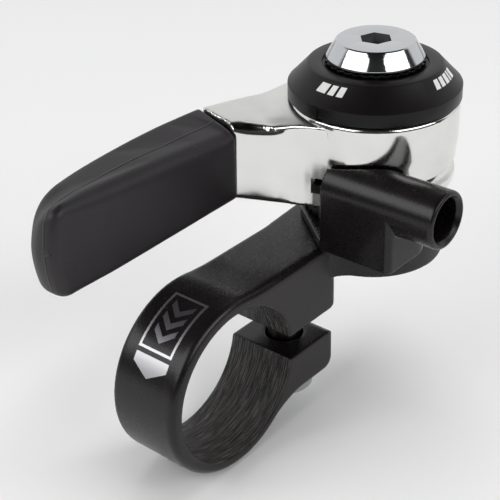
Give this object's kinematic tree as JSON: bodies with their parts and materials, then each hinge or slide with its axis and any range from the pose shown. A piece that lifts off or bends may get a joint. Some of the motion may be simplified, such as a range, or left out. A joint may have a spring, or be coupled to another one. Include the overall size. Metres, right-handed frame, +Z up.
{
  "type": "bicycle thumb shifter",
  "caption": "Handlebar clamp with a side arm carrying a tubular cable stop and an indexed thumb lever with a rubber grip, turning under a conical cover and socket bolt.",
  "frame": {"origin": "centre of the handlebar bore in the clamp, midway across its width", "axes": "+Y along the handlebar, +X from the handlebar towards the lever pivot, +Z up along the pivot axis towards the bolt head"},
  "size_m": [0.0627, 0.0375, 0.0519],
  "materials": {
    "black_alloy": "satin black anodised",
    "polished_alloy": "mirror polished",
    "grip_rubber": "moulded, matt",
    "chrome_plate": "bright plated",
    "plain_steel": "zinc plated",
    "dark_steel": "black oxide",
    "acetal": "natural acetal",
    "black_plastic": "satin"
  },
  "bodies": {
    "base": {"clamp_bracket": "black_alloy", "clamp_bolt": "plain_steel", "clamp_washer": "plain_steel", "cable_stop_body": "black_alloy", "dowel_pin_1": "plain_steel", "dowel_pin_2": "plain_steel", "pivot_post": "plain_steel", "thrust_washer": "acetal", "knurled_ring": "black_plastic", "assist_spring": "plain_steel", "ball_carrier": "dark_steel", "friction_washer": "acetal", "cone_washer_lower": "plain_steel", "cone_washer_upper": "plain_steel", "top_cover": "black_plastic", "lock_washer": "dark_steel", "pivot_bolt": "chrome_plate"},
    "lever": {"shift_lever": "polished_alloy", "grip": "grip_rubber", "pivot_bushing": "acetal", "index_ring": "dark_steel", "index_pin_1": "plain_steel", "index_pin_2": "plain_steel"},
    "detent": {"detent_ball_1": "chrome_plate", "detent_ball_2": "chrome_plate", "click_spring": "plain_steel"}
  },
  "joints": [
    {"name": "lever_turn", "type": "hinge", "parent": "base", "child": "lever", "pos_m": [0.0322, -0.0039, 0.024], "axis": [0, 0, 1], "range_deg": [-130, 0]},
    {"name": "detent_lift", "type": "slide", "parent": "base", "child": "detent", "axis": [0, 0, 1], "range_m": [0, 0.00035], "stiffness_N_per_m": 600}
  ]
}
